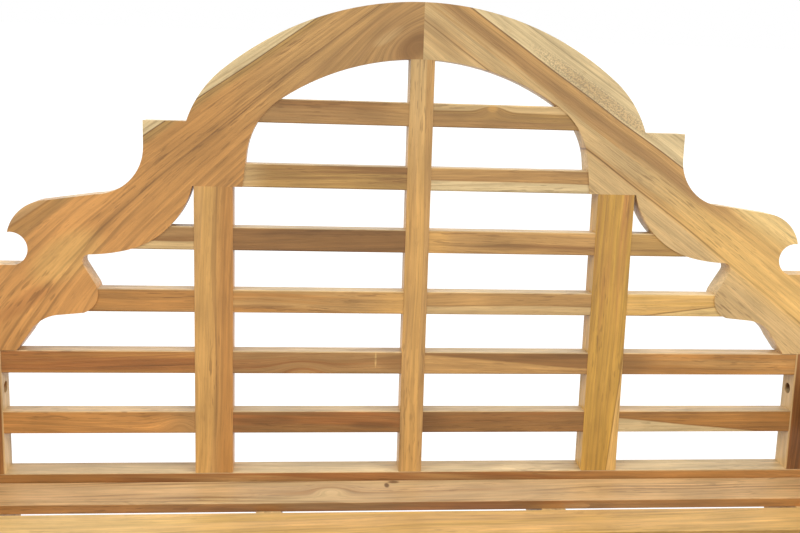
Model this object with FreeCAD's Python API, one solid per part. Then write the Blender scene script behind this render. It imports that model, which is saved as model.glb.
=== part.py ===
import FreeCAD, Part
import math
import os

# Arched-crest garden bench in teak, built as a slatted back panel bolted
# between two side frames with rolled arms, and a contoured slatted seat.
# Millimetres. +Z is up, the front faces -Y, the bench is symmetric about x = 0.
# The back panel is drawn upright in its own frame, x across, y into the panel
# and z above the top of its bottom rail, and is then leaned back.

# Back panel
back_recline = 5.0
member_thickness = 30.0
panel_half_width = 540.0
end_stile_width = 45.0
wide_stile_width = 46.0
wide_stile_share = 0.452
centre_stile_width = 29.0
bottom_rail_height = 50.0
rail_top_fall = 3.0
edge_ease = 1.5

# Back slats: rows are counted from the crest down, the first ones end on the
# arch, the outer ones below those on the hook and the rest on the end stiles
slat_rows = 6
arch_rows = 2
hook_rows = 2
row_pitch = 76.2
slat_height = 28.0
slat_thickness = 23.0
slat_recess = 1.0

# Crest heights from its foot on the wide stiles, the tail lip's from the end stile
arch_rise = 220.0
arch_depth = 65.5
haunch_rise = 134.0
shoulder_rise = 75.5
cove_radius = 57.0
cove_fall = 12.0
ogee_fall = 20.0
tip_fall = 58.0
tail_fall = 97.0
hook_bend_fall = 77.5
hook_fall = 83.3
hook_throat_fall = 97.0
nose_high_fall = 119.0
nose_low_fall = 154.0
lower_cove_fall = 156.6
tail_lip_rise = 19.6
inner_haunch_rise = 104.5
inner_side_rise = 35.0

# Crest widths from the wide stile's centre line
haunch_side = 8.0
arch_base = 31.0
shoulder_width = 49.5
hook_bend_out = 101.0
foot_outer = 24.5
foot_inner = 34.0
inner_side_out = 38.0
inner_haunch_side = 79.0

# Crest widths from the panel's outer edge
ogee_in = 103.0
tip_in = 58.0
notch_in = 66.0
tail_corner_radius = 20.0
tail_foot_in = 63.5
tail_lip_in = 78.0
lower_cove_in = 116.0
nose_low_in = 143.0
nose_high_in = 157.5
hook_throat_in = 144.5
hook_in = 152.0

# Bulge of the crest's freehand arcs, from chord to arc
haunch_bulge = 4.7
ogee_bulge = 10.0
notch_bulge = 18.7
lower_cove_bulge = 6.2
nose_bulge = 8.7
hook_throat_bulge = 5.0
hook_lip_bulge = 1.2
hook_bulge = 15.0
inner_haunch_bulge = 9.5

# Joints
tenon_length = 12.0
tenon_thickness = 10.0
tenon_shoulder = 6.0
stile_tenon_length = 24.0
stile_tenon_shoulder = 10.0
rail_tenon_length = 25.0
rail_tenon_shoulder = 8.0
joint_clearance = 0.2
mortise_end_clearance = 1.0
crest_dowel_radius = 4.0
crest_dowel_length = 60.0
crest_dowel_spacing = 18.0

# Bolts through the end stiles into the rear legs
bolt_level = 103.0
bolt_radius = 4.0
bolt_head_radius = 6.5
bolt_head_height = 8.0
counterbore_radius = 7.0
counterbore_depth = 20.0
bolt_reach = 34.0
bolt_clearance = 0.3
barrel_nut_radius = 7.0
barrel_nut_length = 24.0

# Side frames
leg_width = 50.0
leg_ease = 3.0
front_leg_depth = 55.0
rear_leg_depth = 60.0
rear_leg_lead = 10.0
back_rail_top = 445.0
side_rail_width = 28.0
side_rail_height = 48.0
stretcher_height = 40.0
stretcher_level = 110.0
long_rail_thickness = 30.0
long_rail_height = 75.0
long_rail_tenon_height = 34.0
front_rail_inset = 4.0

# Rolled arms: staves laid round a disc at each end
arm_rail_gap = 50.0
arm_inner_radius = 50.0
arm_sides = 12
arm_open_sides = 3
stave_width = 23.0
stave_thickness = 12.0
roundel_thickness = 30.0
leg_top_gap = 12.0
arm_dowel_radius = 5.0
arm_dowel_depth = 18.0
arm_dowel_spacing = 30.0

# Seat
seat_slat_count = 7
seat_slat_width = 48.5
seat_slat_thickness = 13.0
seat_slat_pitch = 68.5
seat_slat_end_gap = 3.0
seat_rear_gap = 2.4
seat_below_rail = 15.0
seat_dish_radius = 2400.0
seat_let_in = 1.0
bearer_width = 30.0
bearer_height = 65.0
bearer_inset = 22.0
inner_bearer_centre = 175.0

# Levels and places that follow from the sizes above
end_stile_height = (slat_rows - arch_rows - hook_rows) * row_pitch
crest_foot = (slat_rows + 1 - arch_rows) * row_pitch - slat_height
crest_top = crest_foot + arch_rise
wide_stile_centre = wide_stile_share * panel_half_width
inner_face = panel_half_width - end_stile_width
side_centre = panel_half_width + leg_width / 2
lean = math.radians(back_recline)
rear_leg_front = -rear_leg_lead
seat_rear_level = back_rail_top - seat_below_rail
seat_rear_y = -seat_below_rail * math.sin(lean) - seat_rear_gap
seat_rear_centre = seat_rear_y - seat_slat_width / 2
seat_middle = seat_rear_centre - (seat_slat_count - 1) * seat_slat_pitch / 2
seat_half_run = seat_rear_centre - seat_middle
seat_arc_centre = seat_rear_level + math.sqrt(seat_dish_radius ** 2 - seat_half_run ** 2)
seat_front_y = seat_middle - seat_half_run - seat_slat_width / 2
front_leg_front = seat_front_y + front_rail_inset
roundel_front = front_leg_front - roundel_thickness
roundel_radius = arm_inner_radius / math.cos(math.pi / arm_sides)
arm_centre_height = seat_rear_level + arm_rail_gap + roundel_radius
leg_top = arm_centre_height + arm_inner_radius - leg_top_gap
rear_rail_front = -bottom_rail_height * math.sin(lean)
front_rail_front = front_leg_front + front_rail_inset
front_rail_rear = front_rail_front + long_rail_thickness
bearer_low = seat_arc_centre - seat_dish_radius - seat_slat_thickness - bearer_height

AXIS_X = FreeCAD.Vector(1, 0, 0)
AXIS_Y = FreeCAD.Vector(0, 1, 0)
AXIS_Z = FreeCAD.Vector(0, 0, 1)
ORIGIN = FreeCAD.Vector(0, 0, 0)


def block(x, y, z):
    """Box between the low and high value of each pair."""
    corner = FreeCAD.Vector(x[0], y[0], z[0])
    return Part.makeBox(x[1] - x[0], y[1] - y[0], z[1] - z[0], corner)


def around(centre, width):
    """Low and high value of a width laid centrally."""
    return (centre - width / 2, centre + width / 2)


def grown(pair, amount):
    return (pair[0] - amount, pair[1] + amount)


def eased(shape, axis, radius):
    """Round the long edges that run along one axis."""
    long_edges = [e for e in shape.Edges if abs(e.tangentAt(e.FirstParameter).dot(axis)) > 0.999]
    return shape.makeFillet(radius, long_edges)


def mirrored(shape):
    return shape.mirror(ORIGIN, AXIS_X)


def leaned(shape):
    """Carry a shape from the upright panel frame to its place in the bench."""
    moved = shape.copy()
    moved.rotate(ORIGIN, AXIS_X, -back_recline)
    moved.translate(FreeCAD.Vector(0, 0, back_rail_top))
    return moved


def cylinder_x(radius, start, end, y, z):
    return Part.makeCylinder(radius, end - start, FreeCAD.Vector(start, y, z), AXIS_X)


def cylinder_y(radius, start, end, x, z):
    return Part.makeCylinder(radius, end - start, FreeCAD.Vector(x, start, z), AXIS_Y)


def in_plane(point):
    return FreeCAD.Vector(point[0], 0, point[1])


def line(start, end):
    return Part.LineSegment(in_plane(start), in_plane(end)).toShape()


def arc(start, end, bulge):
    """Arc between two points; a positive bulge lies left of the way from start to end."""
    a, b = in_plane(start), in_plane(end)
    chord = b - a
    left = FreeCAD.Vector(-chord.z, 0, chord.x).normalize()
    return Part.Arc(a, (a + b) * 0.5 + left * bulge, b).toShape()


def quarter_bulge(radius):
    return radius * (1 - math.cos(math.pi / 4))


def crown_bulge(width, drop):
    """Bulge of the arc that is level on the centre line and falls by drop over width."""
    radius = (width ** 2 + drop ** 2) / (2 * drop)
    half_chord = math.hypot(width, drop) / 2
    return radius - math.sqrt(radius ** 2 - half_chord ** 2)


def crest_half():
    """Right half of the crest: arch, shoulder, cove, ogee, tail over the end stile, nose and hook."""
    stile, edge, foot = wide_stile_centre, panel_half_width, crest_foot
    top = (0, crest_top)
    haunch = (stile - haunch_side, foot + haunch_rise)
    base = (stile + arch_base, foot + shoulder_rise)
    shoulder = (base[0] + shoulder_width, base[1])
    cove_end = (shoulder[0] + cove_radius, foot - cove_fall)
    cove_start = (shoulder[0], cove_end[1] + cove_radius)
    ogee = (edge - ogee_in, foot - ogee_fall)
    tip = (edge - tip_in, foot - tip_fall)
    tail_start = (edge - notch_in, foot - tail_fall)
    tail_corner = (edge - tail_corner_radius, tail_start[1])
    tail_side = (edge, tail_start[1] - tail_corner_radius)
    tail_end = (edge, end_stile_height)
    tail_foot = (edge - tail_foot_in, end_stile_height)
    tail_lip = (edge - tail_lip_in, end_stile_height + tail_lip_rise)
    lower_cove = (edge - lower_cove_in, foot - lower_cove_fall)
    nose_low = (edge - nose_low_in, foot - nose_low_fall)
    nose_high = (edge - nose_high_in, foot - nose_high_fall)
    hook_throat = (edge - hook_throat_in, foot - hook_throat_fall)
    hook = (edge - hook_in, foot - hook_fall)
    hook_bend = (stile + hook_bend_out, foot - hook_bend_fall)
    foot_out = (stile + foot_outer, foot)
    foot_in = (stile - foot_inner, foot)
    inner_side = (stile - inner_side_out, foot + inner_side_rise)
    inner_haunch = (stile - inner_haunch_side, foot + inner_haunch_rise)
    inner_top = (0, crest_top - arch_depth)
    edges = [
        arc(top, haunch, crown_bulge(haunch[0], top[1] - haunch[1])),
        arc(haunch, base, haunch_bulge),
        line(base, shoulder),
        line(shoulder, cove_start),
        arc(cove_start, cove_end, -quarter_bulge(cove_radius)),
        line(cove_end, ogee),
        arc(ogee, tip, ogee_bulge),
        arc(tip, tail_start, -notch_bulge),
        line(tail_start, tail_corner),
        arc(tail_corner, tail_side, quarter_bulge(tail_corner_radius)),
        line(tail_side, tail_end),
        line(tail_end, tail_foot),
        line(tail_foot, tail_lip),
        arc(tail_lip, lower_cove, -lower_cove_bulge),
        line(lower_cove, nose_low),
        arc(nose_low, nose_high, nose_bulge),
        line(nose_high, hook_throat),
        arc(hook_throat, hook, -hook_throat_bulge),
        arc(hook, hook_bend, hook_lip_bulge),
        arc(hook_bend, foot_out, hook_bulge),
        line(foot_out, foot_in),
        line(foot_in, inner_side),
        arc(inner_side, inner_haunch, -inner_haunch_bulge),
        arc(inner_haunch, inner_top, -crown_bulge(inner_haunch[0], inner_top[1] - inner_haunch[1])),
        line(inner_top, top),
    ]
    outline = Part.Face(Part.Wire(edges))
    return outline.extrude(FreeCAD.Vector(0, member_thickness, 0))


def slat_bottom(row):
    return (slat_rows + 1 - row) * row_pitch - slat_height


def slat_core(start, end, row, extra=0.0, end_extra=0.0):
    """Bar through a back slat whose two ends are its tenons; grown for the mortises."""
    x = (start - tenon_length - end_extra, end + tenon_length + end_extra)
    y = grown(around(slat_recess + slat_thickness / 2, tenon_thickness), extra)
    low = slat_bottom(row)
    z = grown((low + tenon_shoulder, low + slat_height - tenon_shoulder), extra)
    return block(x, y, z)


def back_slat(start, end, row, scribe=None):
    """One back slat and the bar that cuts its mortises; a scribed end follows the crest."""
    low = slat_bottom(row)
    depth = (slat_recess, slat_recess + slat_thickness)
    body = eased(block((start, end), depth, (low, low + slat_height)), AXIS_X, edge_ease)
    if scribe is not None:
        body = body.cut(scribe)
        end = body.BoundBox.XMax
    slat = body.fuse(slat_core(start, end, row)).removeSplitter()
    mortises = slat_core(start, end, row, joint_clearance, mortise_end_clearance)
    return slat, mortises


def stile_tenon(centre, width, start, end, extra=0.0):
    x = grown(around(centre, width - 2 * stile_tenon_shoulder), extra)
    y = grown(around(member_thickness / 2, tenon_thickness), extra)
    return block(x, y, (start, end))


def back_rail():
    """Bottom rail of the back, its top falling to the front."""
    profile = [
        (0, -rail_top_fall),
        (member_thickness, 0),
        (member_thickness, -bottom_rail_height),
        (0, -bottom_rail_height),
    ]
    corners = [FreeCAD.Vector(-panel_half_width, y, z) for y, z in profile]
    face = Part.Face(Part.makePolygon(corners + corners[:1]))
    board = face.extrude(FreeCAD.Vector(2 * panel_half_width, 0, 0))
    return eased(board, AXIS_X, edge_ease)


def stile(centre, width, top, scribes):
    """Upright of the back panel with its two tenons, and the bars that cut their mortises."""
    reach = (-rail_top_fall, top + tenon_length)
    body = eased(block(around(centre, width), (0, member_thickness), reach), AXIS_Z, edge_ease)
    body = body.cut(scribes)
    tenons = stile_tenon(centre, width, -stile_tenon_length, top + stile_tenon_length)
    bars = stile_tenon(centre, width, -stile_tenon_length - mortise_end_clearance,
                       top + stile_tenon_length + mortise_end_clearance, joint_clearance)
    return body.fuse(tenons).removeSplitter(), bars


def bolt(radius, head_radius, seat, reach):
    """Right-hand bolt lying across the end stile, its head inside the counterbore."""
    y = member_thickness / 2
    shank = cylinder_x(radius, seat, reach, y, bolt_level)
    head = cylinder_x(head_radius, seat - bolt_head_height, seat, y, bolt_level)
    return shank.fuse(head).removeSplitter()


def pair(shape):
    return [shape, mirrored(shape)]


def cut_all(shape, tools):
    """Cut away the tools that reach the shape."""
    near = [t for t in tools if t.BoundBox.intersect(shape.BoundBox)]
    return shape.cut(near) if near else shape


def back_panel():
    """Every piece of the back, upright in the panel frame."""
    crest = crest_half()
    crests = pair(crest)
    pieces = {}
    mortises = []

    crest_reach = wide_stile_centre
    hook_reach = panel_half_width - hook_throat_in
    stile_inner = wide_stile_centre - wide_stile_width / 2
    stile_outer = wide_stile_centre + wide_stile_width / 2
    middle = centre_stile_width / 2
    for row in range(1, slat_rows + 1):
        inner_end, scribe = (crest_reach, crest) if row <= arch_rows else (stile_inner, None)
        slat, bars = back_slat(middle, inner_end, row, scribe)
        pieces["slat_row%d_right" % row] = slat
        pieces["slat_row%d_left" % row] = mirrored(slat)
        mortises += pair(bars)
        if row > arch_rows:
            outer_end, scribe = (hook_reach, crest) if row <= arch_rows + hook_rows else (inner_face, None)
            slat, bars = back_slat(stile_outer, outer_end, row, scribe)
            pieces["slat_row%d_outer_right" % row] = slat
            pieces["slat_row%d_outer_left" % row] = mirrored(slat)
            mortises += pair(bars)

    rail = back_rail()
    scribes = crests + [rail]
    centre, centre_bars = stile(0, centre_stile_width, crest_top - arch_depth, scribes)
    wide, wide_bars = stile(wide_stile_centre, wide_stile_width, crest_foot, scribes)
    end, end_bars = stile(panel_half_width - end_stile_width / 2, end_stile_width, end_stile_height, scribes)
    stile_bars = [centre_bars] + pair(wide_bars) + pair(end_bars)

    bolt_hole = bolt(bolt_radius + bolt_clearance, counterbore_radius, inner_face + counterbore_depth,
                     panel_half_width)
    counterbore = cylinder_x(counterbore_radius, inner_face, inner_face + counterbore_depth,
                             member_thickness / 2, bolt_level)
    end = end.cut([bolt_hole, counterbore])

    pieces["centre_stile"] = cut_all(centre, mortises)
    pieces["right_stile"] = cut_all(wide, mortises)
    pieces["left_stile"] = mirrored(pieces["right_stile"])
    pieces["right_end_stile"] = cut_all(end, mortises)
    pieces["left_end_stile"] = mirrored(pieces["right_end_stile"])

    tenon_top = crest_top - arch_depth + stile_tenon_length
    dowel_centre = (tenon_top + crest_top) / 2
    dowels = []
    dowel_holes = []
    for level in around(dowel_centre, crest_dowel_spacing):
        half = crest_dowel_length / 2
        hole_half = half + mortise_end_clearance
        y = member_thickness / 2
        dowels.append(cylinder_x(crest_dowel_radius, -half, half, y, level))
        dowel_holes.append(cylinder_x(crest_dowel_radius + joint_clearance, -hole_half, hole_half, y, level))
    pieces["crest_dowels"] = Part.makeCompound(dowels)
    pieces["crest_right"] = cut_all(crest, mortises + stile_bars + dowel_holes)
    pieces["crest_left"] = mirrored(pieces["crest_right"])

    pieces["back_bottom_rail"] = cut_all(rail, stile_bars)

    bolt_end = panel_half_width + bolt_reach
    bolts = pair(bolt(bolt_radius, bolt_head_radius, inner_face + counterbore_depth, bolt_end))
    pieces["back_bolts"] = Part.makeCompound(bolts)
    return {name: leaned(shape) for name, shape in pieces.items()}


def seat_level(y):
    """Top of the dished seat at a distance from the back."""
    return seat_arc_centre - math.sqrt(seat_dish_radius ** 2 - (y - seat_middle) ** 2)


def seat_slat(index, half_length):
    """One seat slat lying along the dish, counted from the back."""
    y = seat_rear_centre - index * seat_slat_pitch
    top = seat_level(y)
    flat = block((-half_length, half_length), around(y, seat_slat_width), (top - seat_slat_thickness, top))
    slat = eased(flat, AXIS_X, edge_ease)
    tilt = math.degrees(math.asin((y - seat_middle) / seat_dish_radius))
    slat.rotate(FreeCAD.Vector(0, y, top), AXIS_X, tilt)
    return slat


def long_rail(front, low, top):
    """Rail between two legs, with the bar for its mortises."""
    x = (-panel_half_width, panel_half_width)
    body = block(x, (front, front + long_rail_thickness), (low, top))
    tenon_y = around(front + long_rail_thickness / 2, tenon_thickness)
    tenon_low = low + rail_tenon_shoulder
    tenon_z = (tenon_low, tenon_low + long_rail_tenon_height)
    bar = block(grown(x, rail_tenon_length), tenon_y, tenon_z)
    mortise = block(grown(x, rail_tenon_length + mortise_end_clearance), grown(tenon_y, joint_clearance),
                    grown(tenon_z, joint_clearance))
    return body.fuse(bar).removeSplitter(), mortise


def planed(rail, lying_on):
    """Rail cut down to what lies on it."""
    return min(rail.cut(lying_on).Solids, key=lambda solid: solid.BoundBox.ZMin)


def side_rail(low, height):
    """Rail between a front and a rear leg, with the bar for its mortises."""
    y = (front_leg_front + front_leg_depth, rear_leg_front)
    z = (low, low + height)
    body = eased(block(around(side_centre, side_rail_width), y, z), AXIS_Y, edge_ease)
    tenon_x = around(side_centre, tenon_thickness)
    tenon_z = grown(z, -rail_tenon_shoulder)
    bar = block(tenon_x, grown(y, rail_tenon_length), tenon_z)
    mortise = block(grown(tenon_x, joint_clearance), grown(y, rail_tenon_length + mortise_end_clearance),
                    grown(tenon_z, joint_clearance))
    return body.fuse(bar).removeSplitter(), mortise


def seat_bearers(slats, panel_space):
    """Front-to-back bearers cut to the dish, with the slats let in and the back panel on their ends."""
    y = (front_rail_rear, rear_rail_front + long_rail_thickness)
    tenon_z = (bearer_low + rail_tenon_shoulder, bearer_low + bearer_height - rail_tenon_shoulder)
    bearers = []
    mortises = []
    outer = panel_half_width - bearer_inset - bearer_width / 2
    for centre in (-outer, -inner_bearer_centre, inner_bearer_centre, outer):
        x = around(centre, bearer_width)
        body = block(x, y, (bearer_low, back_rail_top))
        dish_radius = seat_dish_radius + seat_slat_thickness - seat_let_in
        dish = cylinder_x(dish_radius, x[0], x[1], seat_middle, seat_arc_centre)
        body = body.cut([dish, panel_space] + slats)
        tenon_x = around(centre, tenon_thickness)
        bar = block(tenon_x, around(y[0], 2 * tenon_length), tenon_z)
        bearers.append(body.fuse(bar).removeSplitter())
        mortise_y = (y[0] - tenon_length - mortise_end_clearance, y[0])
        mortises.append(block(grown(tenon_x, joint_clearance), mortise_y, grown(tenon_z, joint_clearance)))
    return bearers, mortises


def arm_staves():
    """Staves of the right arm, laid on the flats of the roundels, open below for the legs."""
    staves = []
    for index in range(arm_sides - arm_open_sides):
        flat = block(around(side_centre, stave_width), (roundel_front, rear_leg_front),
                     (arm_centre_height + arm_inner_radius,
                      arm_centre_height + arm_inner_radius + stave_thickness))
        stave = eased(flat, AXIS_Y, edge_ease)
        first_angle = -(arm_sides - arm_open_sides - 1) / 2 * 360 / arm_sides
        angle = first_angle + index * 360 / arm_sides
        stave.rotate(FreeCAD.Vector(side_centre, 0, arm_centre_height), AXIS_Y, angle)
        staves.append(stave)
    return staves


def roundel(front, staves):
    """Disc at one end of an arm, with a flat under each stave."""
    disc = cylinder_y(roundel_radius, front, front + roundel_thickness, side_centre, arm_centre_height)
    return disc.cut(staves)


def arm_dowels(joint_y, extra=0.0, end_extra=0.0):
    """Two dowels between a roundel and its leg."""
    reach = arm_dowel_depth + end_extra
    return [cylinder_y(arm_dowel_radius + extra, joint_y - reach, joint_y + reach, side_centre, level)
            for level in around(arm_centre_height, arm_dowel_spacing)]


def barrel_nut(bolts):
    """Cross nut of the right bolt and the hole it is pushed into from behind the leg."""
    place = leaned(Part.Vertex(panel_half_width + leg_width / 2, member_thickness / 2, bolt_level)).Point
    start = place.y - barrel_nut_length / 2
    nut = cylinder_y(barrel_nut_radius, start, start + barrel_nut_length, place.x, place.z).cut(bolts)
    hole = cylinder_y(barrel_nut_radius + joint_clearance, start - mortise_end_clearance,
                      rear_leg_front + rear_leg_depth, place.x, place.z)
    return nut, hole


def bench():
    pieces = back_panel()
    slats = [seat_slat(index, panel_half_width - seat_slat_end_gap) for index in range(seat_slat_count)]
    for index, slat in enumerate(slats):
        pieces["seat_slat_%d" % (index + 1)] = slat

    panel_depth = (0, member_thickness + long_rail_thickness)
    panel_space = leaned(block((-panel_half_width, panel_half_width), panel_depth, (-bottom_rail_height, 0)))
    bearers, bearer_mortises = seat_bearers(slats, panel_space)
    bearer_names = ("left", "inner_left", "inner_right", "right")
    for name, bearer in zip(bearer_names, bearers):
        pieces[name + "_seat_bearer"] = bearer

    front_rail_low = seat_rear_level - seat_slat_thickness - long_rail_height
    front_rail, front_bar = long_rail(front_rail_front, front_rail_low, seat_rear_level)
    front_slat_space = seat_slat(seat_slat_count - 1, panel_half_width)
    pieces["seat_front_rail"] = cut_all(planed(front_rail, front_slat_space), bearer_mortises)
    rear_rail_top = bearer_low + seat_let_in
    rear_rail, rear_bar = long_rail(rear_rail_front, rear_rail_top - long_rail_height, rear_rail_top)
    pieces["seat_rear_rail"] = cut_all(rear_rail, bearers)

    upper, upper_bar = side_rail(seat_rear_level - side_rail_height, side_rail_height)
    lower, lower_bar = side_rail(stretcher_level, stretcher_height)
    staves = arm_staves()
    rear_roundel_front = rear_leg_front - roundel_thickness
    front_dowels = arm_dowels(front_leg_front)
    rear_dowels = arm_dowels(rear_leg_front)
    front_holes = arm_dowels(front_leg_front, joint_clearance, mortise_end_clearance)
    rear_holes = arm_dowels(rear_leg_front, joint_clearance, mortise_end_clearance)

    bolts = pieces["back_bolts"].Solids
    nut, nut_hole = barrel_nut(bolts)
    bolt_bore = leaned(cylinder_x(bolt_radius + bolt_clearance, panel_half_width,
                                  panel_half_width + bolt_reach + mortise_end_clearance,
                                  member_thickness / 2, bolt_level))

    leg_x = (panel_half_width, panel_half_width + leg_width)
    front_leg = block(leg_x, (front_leg_front, front_leg_front + front_leg_depth), (0, leg_top))
    rear_leg = block(leg_x, (rear_leg_front, rear_leg_front + rear_leg_depth), (0, leg_top))
    front_leg = eased(front_leg, AXIS_Z, leg_ease)
    rear_leg = eased(rear_leg, AXIS_Z, leg_ease)
    right = {
        "front_leg": front_leg.cut(front_holes + [front_bar, upper_bar, lower_bar]),
        "rear_leg": rear_leg.cut(rear_holes + [rear_bar, upper_bar, lower_bar, nut_hole, bolt_bore]),
        "front_roundel": roundel(roundel_front, staves).cut(front_holes),
        "rear_roundel": roundel(rear_roundel_front, staves).cut(rear_holes),
        "arm_staves": Part.makeCompound(staves),
        "side_rail": upper,
        "side_stretcher": lower,
    }
    for name, shape in right.items():
        pieces["right_" + name] = shape
        pieces["left_" + name] = mirrored(shape)
    dowels = front_dowels + rear_dowels
    pieces["arm_dowels"] = Part.makeCompound(dowels + [mirrored(d) for d in dowels])
    pieces["barrel_nuts"] = Part.makeCompound(pair(nut))
    return pieces


os.makedirs("parts", exist_ok=True)
nodes = bench()
box = Part.makeCompound(list(nodes.values())).BoundBox
for node, shape in nodes.items():
    shape.translate(FreeCAD.Vector(0, -box.Center.y, -box.ZMin))
    shape.exportStep("parts/%s.step" % node)
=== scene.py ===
import math
from types import SimpleNamespace

import bpy
from mathutils import Color, Matrix, Vector


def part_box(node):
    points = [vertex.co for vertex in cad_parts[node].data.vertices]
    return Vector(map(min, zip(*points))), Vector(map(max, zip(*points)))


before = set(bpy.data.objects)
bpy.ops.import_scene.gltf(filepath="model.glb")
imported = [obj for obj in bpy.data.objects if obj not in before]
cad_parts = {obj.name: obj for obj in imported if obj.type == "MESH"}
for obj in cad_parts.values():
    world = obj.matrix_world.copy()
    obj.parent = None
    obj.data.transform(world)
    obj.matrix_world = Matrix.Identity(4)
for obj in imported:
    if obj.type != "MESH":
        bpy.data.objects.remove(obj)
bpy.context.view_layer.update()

# Camera, from the fit to the photograph: metres, degrees, millimetres of film
CAMERA_PLACE = (-0.1327, -0.9264, 1.0140)
CAMERA_TURN = (75.025, -2.115, -5.010)
CAMERA_LENS = 44.38
CAMERA_SENSOR = 36.0

# Soft light from both sides, from above and weakly from behind, each with direction, strength and angle
LAMPS = {
    "left": ((-0.80, -0.40, 0.45), 1.65, 35.0),
    "right": ((0.80, -0.40, 0.45), 1.90, 35.0),
    "top": ((0.0, -0.15, 1.0), 1.0, 60.0),
    "back": ((0.0, 0.85, 0.40), 0.55, 90.0),
}

# Strength of the white dome as light and as background
DOME_LIGHT = 0.40
DOME_SEEN = 1.0
WHITE = (1.0, 1.0, 1.0, 1.0)

# Plain matt floor with a glow that only shows as background
FLOOR_SIZE = 60.0
FLOOR_COLOUR = (0.40, 0.40, 0.40, 1.0)
FLOOR_ROUGHNESS = 0.9
FLOOR_SPECULAR = 0.0
FLOOR_GLOW = 0.68

# The sawn edges of the crest are eased where they are sharper than an angle
CREST = ("crest_left", "crest_right")
EDGE_EASE = 0.0018
EDGE_SEGMENTS = 2
EDGE_ANGLE = math.radians(40.0)
WELD_DISTANCE = 0.00001

# The back panel leans by this much, and its boards' figure leans with it
BACK_RECLINE = math.radians(5.0)
QUARTER_TURN = 90.0

# Teak tones as 8-bit sRGB, pale sapwood to dark lines
CHANNEL_TOP = 255
TONES = {
    "cream": (234, 199, 130),
    "ivory": (218, 193, 144),
    "apricot": (224, 180, 106),
    "oat": (204, 171, 118),
    "honey": (207, 160, 92),
    "ginger": (208, 150, 84),
    "gold": (199, 154, 72),
    "tan": (191, 148, 90),
    "amber": (186, 133, 71),
    "umber": (176, 138, 79),
    "clay": (166, 127, 78),
    "rust": (156, 101, 52),
    "walnut": (143, 103, 58),
    "slate": (140, 122, 96),
    "cocoa": (100, 68, 36),
}

# Noise for each kind of mark: cycles per metre along, through and across the board, detail, roughness
NOISES = {
    "wander": ((3.5, 9.0, 12.0), 2.0, 0.5),
    "streaks": ((1.8, 35.0, 60.0), 4.0, 0.6),
    "ring drift": ((2.5, 26.0, 26.0), 1.0, 0.5),
    "ring strength": ((3.0, 40.0, 60.0), 1.0, 0.5),
    "lines": ((7.0, 130.0, 210.0), 3.0, 0.65),
    "clouds": ((14.0, 40.0, 45.0), 2.0, 0.5),
    "fibres": ((16.0, 450.0, 600.0), 2.0, 0.5),
    "pores": ((90.0, 650.0, 800.0), 1.0, 0.5),
    "clusters": ((6.0, 25.0, 40.0), 1.0, 0.5),
    "flecks": ((45.0, 380.0, 460.0), 1.0, 0.5),
    "specks": ((520.0, 520.0, 520.0), 1.0, 0.5),
    "scratches": ((900.0, 160.0, 900.0), 2.0, 0.5),
}
NOISE_MIDDLE = 0.5

# Where each mark starts to show, and where it shows in full
STREAKS_SHOW = (0.46, 0.66)
RING_SHOWS = (0.30, 1.0)
RING_STRENGTH_SHOWS = (0.42, 0.68)
FIBRES_SHOW = (0.30, 0.70)
PORES_SHOW = (0.58, 0.75)
CLUSTERS_SHOW = (0.44, 0.66)
FLECKS_SHOW = (0.59, 0.68)
SPECKS_SHOW = (0.48, 0.58)
# painted top light: how far up a face must look before it is painted paler
PAINTED_TOP_LIGHT_SHOWS = (0.1, 0.8)
PATCH_SHOWS = (1.0, 0.1)
SPECKED_PLACE_SHOWS = (1.0, 0.3)

# Most of each mark that is mixed in
END_SHARE = 0.8
PORES_SHARE = 0.2
FLECKS_SHARE = 0.4
SPECKS_SHARE = 0.5

# Darkest and lightest factor of each shading
LINES_SHADE = (0.50, 1.48)
CLOUDS_SHADE = (0.70, 1.30)
FIBRES_SHADE = (0.95, 1.05)
STAVES_SHADE = (0.85, 1.15)

# Course of the grain in metres, and of the rings in turns
GRAIN_WANDER = 0.014
LINE_WIDTH = 0.0015
RING_PITCH = 0.0085
RING_DRIFT = 5.0
KNOT_STRETCH = 2.0

# How far a seed moves a board's figure along, through and across, and how much it may tilt it
SEED_SHIFT = (1.7, 0.9, 0.6)
SEED_TURN = 7.0
FIGURE_TILT = 0.03

# Surfaces
TEAK_ROUGHNESS = (0.55, 0.40)
TEAK_SPECULAR = 0.5
TEAK_SHEEN = 0.06
TEAK_SHEEN_ROUGHNESS = 0.4
BUMP_STRENGTH = 0.25
BUMP_DEPTH = 0.0005
STEEL_DARK = (0.30, 0.29, 0.28, 1.0)
STEEL_LIGHT = (0.55, 0.54, 0.52, 1.0)
STEEL_ROUGHNESS = (0.3, 0.55)

# Sockets of the colour mix node, which has several of the same name
MIX_SHARE = 0
MIX_FIRST = 6
MIX_SECOND = 7
MIX_RESULT = 2


# Small helpers to write shader nodes as formulas

def tone(name):
    """Scene-linear colour of a named tone."""
    channels = [value / CHANNEL_TOP for value in TONES[name]]
    return (*Color(channels).from_srgb_to_scene_linear(), 1.0)


def feed(tree, value, socket):
    """Link a value that is a socket to another socket, or set that socket to a constant."""
    if isinstance(value, bpy.types.NodeSocket):
        tree.links.new(value, socket)
    else:
        socket.default_value = value


def calc(tree, operation, first, second=0.0):
    """Result of a sum on one or two values."""
    node = tree.nodes.new("ShaderNodeMath")
    node.operation = operation
    feed(tree, first, node.inputs[0])
    feed(tree, second, node.inputs[1])
    return node.outputs[0]


def squared(tree, value):
    """A value times itself."""
    return calc(tree, "MULTIPLY", value, value)


def step(tree, value, limits):
    """Smooth step of a value, 0 at the first limit and 1 at the second."""
    node = tree.nodes.new("ShaderNodeMapRange")
    node.interpolation_type = "SMOOTHSTEP"
    feed(tree, value, node.inputs["Value"])
    node.inputs["From Min"].default_value, node.inputs["From Max"].default_value = limits
    return node.outputs["Result"]


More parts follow.
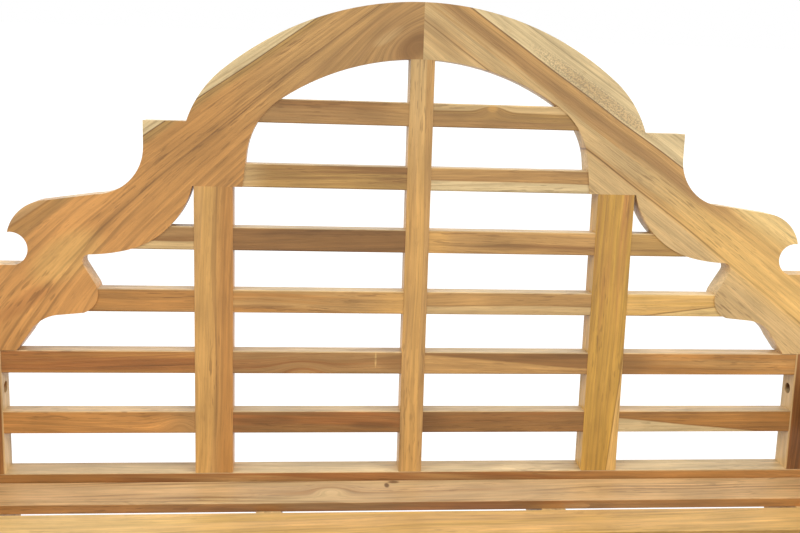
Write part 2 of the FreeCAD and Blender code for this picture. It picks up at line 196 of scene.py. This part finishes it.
def spread(tree, value, limits):
    """Carry a value between 0 and 1 to a value between two limits."""
    low, high = limits
    return calc(tree, "ADD", calc(tree, "MULTIPLY", value, high - low), low)


def mixed(tree, first, second, share, mode="MIX"):
    """Two colours, mixed by a share of the second."""
    node = tree.nodes.new("ShaderNodeMix")
    node.data_type = "RGBA"
    node.blend_type = mode
    feed(tree, share, node.inputs[MIX_SHARE])
    feed(tree, first, node.inputs[MIX_FIRST])
    feed(tree, second, node.inputs[MIX_SECOND])
    return node.outputs[MIX_RESULT]


def shaded(tree, colour, value, limits):
    """A colour, darker or lighter as a value goes from 0 to 1."""
    return mixed(tree, colour, spread(tree, value, limits), 1.0, "MULTIPLY")


def noise(tree, place, kind):
    """Noise of one kind at a place on a board."""
    cycles, detail, roughness = NOISES[kind]
    scaled = tree.nodes.new("ShaderNodeVectorMath")
    scaled.operation = "MULTIPLY"
    feed(tree, place, scaled.inputs[0])
    scaled.inputs[1].default_value = cycles
    node = tree.nodes.new("ShaderNodeTexNoise")
    node.inputs["Scale"].default_value = 1.0
    node.inputs["Detail"].default_value = detail
    node.inputs["Roughness"].default_value = roughness
    tree.links.new(scaled.outputs[0], node.inputs["Vector"])
    return node.outputs["Fac"]


def parts_of(tree, vector):
    """The three parts of a vector."""
    node = tree.nodes.new("ShaderNodeSeparateXYZ")
    tree.links.new(vector, node.inputs[0])
    return node.outputs


def joined(tree, x, y, z):
    """Vector of three values."""
    node = tree.nodes.new("ShaderNodeCombineXYZ")
    for value, socket in zip((x, y, z), node.inputs):
        feed(tree, value, socket)
    return node.outputs[0]


def object_place(tree):
    """Place on the object, in metres."""
    return tree.nodes.new("ShaderNodeTexCoord").outputs["Object"]


def new_material(name):
    """Empty material with its node tree and shader."""
    material = bpy.data.materials.new(name)
    material.use_nodes = True
    return material, material.node_tree, material.node_tree.nodes["Principled BSDF"]


# How a board is sawn and coloured. Lengths are metres from the middle of the board.

PLAIN_BOARD = {
    "angle": 0.0,
    "fan": None,
    "bands": (),
    "ends": (),
    "patches": (),
    "knot": None,
    "specks": None,
    "rings": 0.3,
    # share of painted top light, ivory painted on the faces that look up
    "bleach": 0.6,
    "leaned": True,
    "staves": False,
}


def board(main, streak, grain="x", **figure):
    """Two tones that streak, the direction of the grain, and how the board differs from a plain one."""
    return {**PLAIN_BOARD, "main": main, "streak": streak, "grain": grain, **figure}


def fan_out(rate, pivot):
    """Grain lines that spread along the board, all but the one at the pivot."""
    return {"rate": rate, "pivot": pivot}


def band(colour, start, end, line=0.0, slope=0.0):
    """Change of tone across a board from start to end, with a dark line where it starts."""
    return {"colour": colour, "start": start, "end": end, "line": line, "slope": slope}


def thread(place, strength, slope=0.0):
    """Thin dark line along a board."""
    return band(None, place, place, strength, slope)


def end(colour, start, full):
    """Change of tone along a board from start to where it is full."""
    return {"colour": colour, "start": start, "full": full}


def spot(along, across, half_length, half_width):
    """Long oval place on a board."""
    return {"along": along, "across": across, "half_length": half_length, "half_width": half_width}


def patch(colour, along, across, half_length, half_width, share):
    """Spot of another tone, with a soft rim."""
    return {"colour": colour, "share": share, **spot(along, across, half_length, half_width)}


def knot(along, across, radius, lift=1.0):
    """Spot that pushes the grain lines aside, by its radius times the lift."""
    return {"push": lift * radius, **spot(along, across, KNOT_STRETCH * radius, radius)}


def board_turn(spec):
    """Rotation of a board's own axes, x along the grain, y through and z across the face."""
    if spec["grain"] == "y":
        return Matrix.Rotation(math.radians(QUARTER_TURN), 3, "Z")
    if spec["grain"] == "flat":
        return Matrix.Rotation(math.radians(-QUARTER_TURN), 3, "X")
    angle = QUARTER_TURN if spec["grain"] == "z" else spec["angle"]
    turn = Matrix.Rotation(-math.radians(angle), 3, "Y")
    if spec["leaned"]:
        turn = Matrix.Rotation(-BACK_RECLINE, 3, "X") @ turn
    return turn


# Course of the grain

def board_axes(tree, spec, centre):
    """Places along, through and across the board, in metres from its centre."""
    mapping = tree.nodes.new("ShaderNodeMapping")
    mapping.vector_type = "TEXTURE"
    mapping.inputs["Location"].default_value = centre
    mapping.inputs["Rotation"].default_value = board_turn(spec).to_euler()
    tree.links.new(object_place(tree), mapping.inputs["Vector"])
    return mapping.outputs[0]


def spot_distance(tree, along, across, oval):
    """Squared distance from an oval's centre, 1 on its rim."""
    far_along = calc(tree, "DIVIDE", calc(tree, "SUBTRACT", along, oval["along"]), oval["half_length"])
    far_across = calc(tree, "DIVIDE", calc(tree, "SUBTRACT", across, oval["across"]), oval["half_width"])
    return calc(tree, "ADD", squared(tree, far_along), squared(tree, far_across))


def grain_line(tree, spec, figure, along, across):
    """Which grain line a point is on: lines wander, fan out and run round a knot."""
    wander = calc(tree, "SUBTRACT", noise(tree, figure, "wander"), NOISE_MIDDLE)
    line = calc(tree, "ADD", across, calc(tree, "MULTIPLY", wander, GRAIN_WANDER))
    if spec["fan"]:
        lever = calc(tree, "SUBTRACT", 1.0, calc(tree, "DIVIDE", across, spec["fan"]["pivot"]))
        fanned = calc(tree, "MULTIPLY", calc(tree, "MULTIPLY", along, spec["fan"]["rate"]), lever)
        line = calc(tree, "SUBTRACT", line, fanned)
    if spec["knot"]:
        far = spot_distance(tree, along, across, spec["knot"])
        near = calc(tree, "EXPONENT", calc(tree, "MULTIPLY", far, -1.0))
        line = calc(tree, "SUBTRACT", line, calc(tree, "MULTIPLY", near, spec["knot"]["push"]))
    return line


def grain_course(tree, spec, centre, seed):
    """Places on a board that its marks are drawn by, with the figure moved and tilted by its seed."""
    place = board_axes(tree, spec, centre)
    along, _, across = parts_of(tree, place)
    shift = [seed * length for length in SEED_SHIFT]
    moved = tree.nodes.new("ShaderNodeVectorMath")
    tree.links.new(place, moved.inputs[0])
    moved.inputs[1].default_value = shift
    figure = moved.outputs[0]
    line = grain_line(tree, spec, figure, along, across)
    tilt = 0.0 if spec["fan"] else FIGURE_TILT * math.sin(SEED_TURN * seed)
    tilted = calc(tree, "ADD", line, calc(tree, "MULTIPLY", along, tilt))
    moved_along, moved_through, _ = parts_of(tree, figure)
    flow = joined(tree, moved_along, moved_through, calc(tree, "ADD", tilted, shift[2]))
    return SimpleNamespace(place=place, along=along, across=across, line=line, tilted=tilted, flow=flow)


# Tones and marks of the wood, each laid over the colour so far

def streak_tones(tree, spec, course):
    """The two main tones in streaks of every width, and the tones towards the ends."""
    streaks = step(tree, noise(tree, course.flow, "streaks"), STREAKS_SHOW)
    colour = mixed(tree, tone(spec["main"]), tone(spec["streak"]), streaks)
    for part in spec["ends"]:
        share = calc(tree, "MULTIPLY", step(tree, course.along, (part["start"], part["full"])), END_SHARE)
        colour = mixed(tree, colour, tone(part["colour"]), share)
    return colour


def band_tones(tree, spec, course, colour):
    """Bands of tone across the board, each with its dark line."""
    for edge in spec["bands"]:
        level = course.line
        if edge["slope"]:
            level = calc(tree, "SUBTRACT", level, calc(tree, "MULTIPLY", course.along, edge["slope"]))
        if edge["colour"]:
            share = step(tree, level, (edge["start"], edge["end"]))
            colour = mixed(tree, colour, tone(edge["colour"]), share)
        if edge["line"]:
            distance = calc(tree, "ABSOLUTE", calc(tree, "SUBTRACT", level, edge["start"]))
            drawn = calc(tree, "MULTIPLY", step(tree, distance, (LINE_WIDTH, 0.0)), edge["line"])
            colour = mixed(tree, colour, tone("cocoa"), drawn)
    return colour


def bleached(tree, spec, colour):
    """Painted top light: faces that look up are painted paler, towards ivory, as overhead light would show
    them.
    """
    normal = tree.nodes.new("ShaderNodeNewGeometry").outputs["True Normal"]
    _, _, facing = parts_of(tree, normal)
    share = calc(tree, "MULTIPLY", step(tree, facing, PAINTED_TOP_LIGHT_SHOWS), spec["bleach"])
    return mixed(tree, colour, tone("ivory"), share)


def patch_tones(tree, spec, course, colour):
    """Patches of other tones; a few of them are painted light."""
    for part in spec["patches"]:
        far = spot_distance(tree, course.along, course.across, part)
        share = calc(tree, "MULTIPLY", step(tree, far, PATCH_SHOWS), part["share"])
        colour = mixed(tree, colour, tone(part["colour"]), share)
    return colour


def growth_rings(tree, spec, course, colour):
    """Growth rings as fine darker lines of uneven strength."""
    drift = calc(tree, "MULTIPLY", noise(tree, course.flow, "ring drift"), RING_DRIFT)
    turns = calc(tree, "ADD", calc(tree, "DIVIDE", course.tilted, RING_PITCH), drift)
    ring = step(tree, calc(tree, "FRACT", turns), RING_SHOWS)
    strength = step(tree, noise(tree, course.flow, "ring strength"), RING_STRENGTH_SHOWS)
    share = calc(tree, "MULTIPLY", calc(tree, "MULTIPLY", ring, strength), spec["rings"])
    return mixed(tree, colour, tone("walnut"), share)


def dark_flecks(tree, course, colour):
    """Clusters of short dark flecks."""
    clusters = step(tree, noise(tree, course.flow, "clusters"), CLUSTERS_SHOW)
    flecks = step(tree, noise(tree, course.flow, "flecks"), FLECKS_SHOW)
    share = calc(tree, "MULTIPLY", calc(tree, "MULTIPLY", flecks, clusters), FLECKS_SHARE)
    return mixed(tree, colour, tone("cocoa"), share)


def grey_specks(tree, spec, course, colour):
    """Grey dots in the sapwood."""
    far = spot_distance(tree, course.along, course.line, spec["specks"])
    dots = step(tree, noise(tree, course.place, "specks"), SPECKS_SHOW)
    share = calc(tree, "MULTIPLY", dots, step(tree, far, SPECKED_PLACE_SHOWS))
    return mixed(tree, colour, tone("slate"), calc(tree, "MULTIPLY", share, SPECKS_SHARE))


def grain_relief(tree, shader, fibres, pores):
    """Raised fibres and sunken pores."""
    bump = tree.nodes.new("ShaderNodeBump")
    bump.inputs["Strength"].default_value = BUMP_STRENGTH
    bump.inputs["Distance"].default_value = BUMP_DEPTH
    feed(tree, calc(tree, "SUBTRACT", fibres, pores), bump.inputs["Height"])
    tree.links.new(bump.outputs[0], shader.inputs["Normal"])


def teak(name, spec, centre, seed):
    """Sanded teak of one board."""
    material, tree, shader = new_material(name)
    course = grain_course(tree, spec, centre, seed)
    fibres = step(tree, noise(tree, course.flow, "fibres"), FIBRES_SHOW)
    pores = step(tree, noise(tree, course.flow, "pores"), PORES_SHOW)

    colour = streak_tones(tree, spec, course)
    colour = band_tones(tree, spec, course, colour)
    # painted top light: upward faces painted paler
    colour = bleached(tree, spec, colour)
    colour = patch_tones(tree, spec, course, colour)
    colour = growth_rings(tree, spec, course, colour)
    colour = shaded(tree, colour, noise(tree, course.flow, "lines"), LINES_SHADE)
    colour = shaded(tree, colour, noise(tree, course.flow, "clouds"), CLOUDS_SHADE)
    colour = shaded(tree, colour, fibres, FIBRES_SHADE)
    colour = mixed(tree, colour, tone("walnut"), calc(tree, "MULTIPLY", pores, PORES_SHARE))
    colour = dark_flecks(tree, course, colour)
    if spec["specks"]:
        colour = grey_specks(tree, spec, course, colour)
    if spec["staves"]:
        lot = tree.nodes.new("ShaderNodeNewGeometry").outputs["Random Per Island"]
        colour = shaded(tree, colour, lot, STAVES_SHADE)

    feed(tree, colour, shader.inputs["Base Color"])
    feed(tree, spread(tree, fibres, TEAK_ROUGHNESS), shader.inputs["Roughness"])
    shader.inputs["Specular IOR Level"].default_value = TEAK_SPECULAR
    shader.inputs["Sheen Weight"].default_value = TEAK_SHEEN
    shader.inputs["Sheen Roughness"].default_value = TEAK_SHEEN_ROUGHNESS
    grain_relief(tree, shader, fibres, pores)
    return material


def steel():
    """Brushed steel of the bolts and their nuts."""
    material, tree, shader = new_material("steel")
    scratches = noise(tree, object_place(tree), "scratches")
    feed(tree, mixed(tree, STEEL_DARK, STEEL_LIGHT, scratches), shader.inputs["Base Color"])
    shader.inputs["Metallic"].default_value = 1.0
    feed(tree, spread(tree, scratches, STEEL_ROUGHNESS), shader.inputs["Roughness"])
    return material


# The boards that the photograph shows, and how each is figured
BOARDS = {
    "crest_left": board(
        "tan", "clay", angle=35.0, fan=fan_out(0.14, 0.073), rings=0.5, knot=knot(0.300, -0.006, 0.026, 1.9),
        ends=[end("amber", 0.20, 0.04), end("ginger", 0.02, -0.12)],
        bands=[thread(0.024, 0.55), thread(0.037, 0.35), band("umber", 0.056, 0.066), thread(0.064, 0.4),
               band("ivory", 0.0695, 0.0705, 0.8)],
        patches=[patch("clay", 0.24, 0.000, 0.10, 0.040, 0.5),
                 patch("walnut", 0.305, -0.018, 0.035, 0.018, 0.9),
                 patch("oat", 0.285, 0.008, 0.025, 0.007, 0.6),
                 patch("rust", -0.245, -0.012, 0.06, 0.012, 0.5),
                 patch("amber", -0.18, 0.073, 0.07, 0.022, 0.7),
                 patch("apricot", -0.175, 0.005, 0.06, 0.030, 0.5),
                 patch("clay", 0.305, 0.020, 0.05, 0.025, 0.5)]),
    "crest_right": board(
        "oat", "tan", angle=-34.5, fan=fan_out(-0.023, 0.050), rings=0.15,
        ends=[end("apricot", -0.04, 0.12)],
        bands=[band("oat", -0.004, -0.008, 0.75), band("clay", 0.020, 0.032), band("tan", 0.036, 0.046),
               band("ivory", 0.050, 0.051, 0.9), thread(0.078, 0.35)],
        patches=[patch("clay", -0.095, 0.058, 0.10, 0.008, 0.35),
                 patch("cream", 0.17, 0.062, 0.09, 0.025, 0.9),
                 patch("apricot", 0.23, 0.020, 0.17, 0.050, 0.75),
                 patch("clay", -0.30, 0.000, 0.05, 0.020, 0.4)],
        specks=spot(-0.115, 0.059, 0.115, 0.013)),
    "slat_row1_left": board("clay", "walnut", ends=[end("tan", 0.04, 0.09)]),
    "slat_row1_right": board(
        "umber", "clay", knot=knot(-0.018, 0.008, 0.008), bands=[band("oat", 0.004, 0.006, 0.3)],
        patches=[patch("honey", -0.018, 0.009, 0.008, 0.005, 0.8)]),
    "slat_row2_left": board(
        "umber", "walnut", rings=0.4, ends=[end("oat", -0.06, -0.10)],
        patches=[patch("walnut", 0.085, -0.002, 0.03, 0.005, 0.6)]),
    "slat_row2_right": board("tan", "clay", bands=[band("ivory", 0.000, -0.002, 0.3)]),
    "slat_row3_outer_left": board("clay", "walnut", rings=0.4, bands=[band("oat", -0.001, -0.003)]),
    "slat_row3_left": board("walnut", "cocoa"),
    "slat_row3_right": board("tan", "walnut", rings=0.4, ends=[end("honey", -0.07, -0.09)]),
    "slat_row3_outer_right": board("umber", "walnut"),
    "slat_row4_outer_left": board("amber", "clay"),
    "slat_row4_left": board(
        "tan", "amber", ends=[end("honey", 0.04, 0.10)],
        patches=[patch("walnut", -0.07, -0.006, 0.05, 0.004, 0.6)]),
    "slat_row4_right": board("tan", "clay", bands=[band("oat", -0.003, -0.005, 0.3)]),
    "slat_row4_outer_right": board(
        "apricot", "gold", rings=0.25, bands=[band("cream", -0.008, -0.010, 0.6, 0.13)]),
    "slat_row5_outer_left": board("rust", "amber", bands=[thread(-0.006, 0.4, 0.02)]),
    "slat_row5_left": board(
        "clay", "rust", rings=0.6, knot=knot(-0.02, -0.012, 0.014),
        patches=[patch("cream", 0.071, 0.004, 0.0015, 0.012, 0.5),
                 patch("walnut", 0.10, 0.0, 0.03, 0.012, 0.6)]),
    "slat_row5_right": board(
        "tan", "walnut", bands=[band("walnut", 0.001, 0.004, 0.0, -0.068)],
        patches=[patch("cocoa", 0.06, 0.009, 0.07, 0.005, 0.5)]),
    "slat_row5_outer_right": board("amber", "tan", ends=[end("walnut", -0.05, -0.11)]),
    "slat_row6_outer_left": board(
        "ginger", "amber", rings=0.4, knot=knot(0.096, 0.0, 0.012), ends=[end("clay", 0.06, 0.11)]),
    "slat_row6_left": board(
        "rust", "walnut",
        patches=[patch("cocoa", -0.06, 0.002, 0.05, 0.008, 0.5),
                 patch("cocoa", 0.07, -0.004, 0.04, 0.006, 0.5)]),
    "slat_row6_right": board("walnut", "rust", ends=[end("cocoa", -0.05, -0.11)]),
    "slat_row6_outer_right": board("amber", "walnut", bands=[band("ivory", -0.006, -0.008, 0.35, -0.11)]),
    "centre_stile": board(
        "honey", "tan", "z", ends=[end("oat", 0.05, 0.30)],
        bands=[thread(-0.007, 0.3), band("tan", -0.006, -0.008)]),
    "left_stile": board("honey", "tan", "z", bands=[band("amber", 0.006, -0.014), thread(-0.003, 0.25)]),
    "right_stile": board("gold", "amber", "z", bands=[band("apricot", -0.0228, -0.0238, 0.5, -0.0716)]),
    # painted light: a pale oat strip covers each end stile's inner side face, as if lit from the side
    "left_end_stile": board("rust", "amber", "z", patches=[patch("oat", 0.0, -0.0226, 0.5, 0.0025, 0.9)]),
    "right_end_stile": board("rust", "cocoa", "z", patches=[patch("oat", 0.0, 0.0226, 0.5, 0.0025, 0.9)]),
    "back_bottom_rail": board(
        # stronger painted top light on the rail's top
        "rust", "tan", bleach=0.75,
        ends=[end("amber", -0.31, -0.44), end("amber", 0.16, 0.26), end("ginger", 0.24, 0.34)],
        # painted highlight: pale ivory strip along the top of the rail's right part
        patches=[patch("ivory", 0.40, 0.026, 0.25, 0.006, 0.5)]),
    "seat_slat_1": board(
        # painted top light on the seat slat's top
        "rust", "clay", "flat", bleach=0.5, rings=0.8, knot=knot(-0.10, 0.002, 0.012, 1.5),
        ends=[end("ginger", 0.05, 0.35), end("ginger", -0.12, -0.42)],
        patches=[patch("cocoa", -0.030, 0.012, 0.004, 0.007, 0.95),
                 patch("cocoa", -0.021, 0.019, 0.009, 0.004, 0.95)]),
    "seat_slat_2": board(
        # weak painted top light on the seat slat's top
        "honey", "gold", "flat", bleach=0.15, ends=[end("cream", -0.12, -0.40), end("apricot", 0.15, 0.40)]),
}

# The boards out of the photograph are plainer and take their tones in turn
OTHER_TONES = [("tan", "clay"), ("honey", "tan"), ("amber", "clay"), ("oat", "tan"), ("umber", "walnut")]
# share of painted top light on the boards out of view
OTHER_PAINTED_TOP_LIGHT = 0.4
ALONG_Y = ("arm_staves", "side_rail", "side_stretcher", "bearer", "dowels")
UPRIGHT = ("leg", "roundel")
STEEL_NODES = ("back_bolts", "barrel_nuts")


def other_board(name, index):
    """Figure of a board that the photograph does not show."""
    main, streak = OTHER_TONES[index % len(OTHER_TONES)]
    grain = "x"
    if "seat_slat" in name:
        grain = "flat"
    elif any(word in name for word in ALONG_Y):
        grain = "y"
    elif any(word in name for word in UPRIGHT):
        grain = "z"
    return board(main, streak, grain, bleach=OTHER_PAINTED_TOP_LIGHT, leaned=False, staves="staves" in name)


def weld(node):
    """Join the faces of each solid along their edges."""
    join = node.modifiers.new("weld", "WELD")
    join.merge_threshold = WELD_DISTANCE


def dress_nodes():
    """Give every node its own wood, or steel."""
    metal = steel()
    for index, (name, node) in enumerate(sorted(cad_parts.items())):
        node.data.materials.clear()
        if name in STEEL_NODES:
            node.data.materials.append(metal)
            continue
        low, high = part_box(name)
        centre = (Vector(low) + Vector(high)) / 2
        spec = BOARDS.get(name) or other_board(name, index)
        node.data.materials.append(teak("teak_" + name, spec, centre, index))
        if spec["staves"]:
            weld(node)


def ease_crest():
    """Soften the sawn edges of the crest's two halves."""
    for name in CREST:
        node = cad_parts[name]
        weld(node)
        ease = node.modifiers.new("ease", "BEVEL")
        ease.width = EDGE_EASE
        ease.segments = EDGE_SEGMENTS
        ease.limit_method = "ANGLE"
        ease.angle_limit = EDGE_ANGLE


# Stage, light and camera

def background_rays(tree):
    """1 for rays that show the background: camera, mirror-like and see-through ones."""
    path = tree.nodes.new("ShaderNodeLightPath")
    seen = calc(tree, "MAXIMUM", path.outputs["Is Camera Ray"], path.outputs["Is Glossy Ray"])
    return calc(tree, "MAXIMUM", seen, path.outputs["Is Transmission Ray"])


def build_floor():
    """Pale floor under the bench."""
    bpy.ops.mesh.primitive_plane_add(size=FLOOR_SIZE)
    floor = bpy.context.object
    floor.name = "floor"
    material, tree, shader = new_material("floor")
    shader.inputs["Base Color"].default_value = FLOOR_COLOUR
    shader.inputs["Roughness"].default_value = FLOOR_ROUGHNESS
    shader.inputs["Specular IOR Level"].default_value = FLOOR_SPECULAR
    shader.inputs["Emission Color"].default_value = WHITE
    glow = calc(tree, "MULTIPLY", background_rays(tree), FLOOR_GLOW)
    feed(tree, glow, shader.inputs["Emission Strength"])
    floor.data.materials.append(material)


def build_dome():
    """White dome, weaker as light than as background."""
    world = bpy.data.worlds.new("world")
    bpy.context.scene.world = world
    world.use_nodes = True
    tree = world.node_tree
    background = tree.nodes["Background"]
    background.inputs["Color"].default_value = WHITE
    strength = spread(tree, background_rays(tree), (DOME_LIGHT, DOME_SEEN))
    feed(tree, strength, background.inputs["Strength"])


def build_light():
    """Wide lamps far away, one from each direction."""
    for name, (direction, strength, angle) in LAMPS.items():
        lamp = bpy.data.lights.new(name, "SUN")
        lamp.energy = strength
        lamp.angle = math.radians(angle)
        sun = bpy.data.objects.new(name, lamp)
        sun.rotation_euler = Vector(direction).to_track_quat("Z", "Y").to_euler()
        bpy.context.scene.collection.objects.link(sun)


def place_camera():
    """Camera that sees the bench as the photograph does."""
    lens = bpy.data.cameras.new("camera")
    lens.lens = CAMERA_LENS
    lens.sensor_width = CAMERA_SENSOR
    lens.sensor_fit = "HORIZONTAL"
    camera = bpy.data.objects.new("camera", lens)
    camera.location = CAMERA_PLACE
    camera.rotation_euler = [math.radians(angle) for angle in CAMERA_TURN]
    bpy.context.scene.collection.objects.link(camera)
    bpy.context.scene.camera = camera


dress_nodes()
ease_crest()
build_floor()
build_dome()
build_light()
place_camera()
bpy.context.scene.view_settings.view_transform = "Standard"
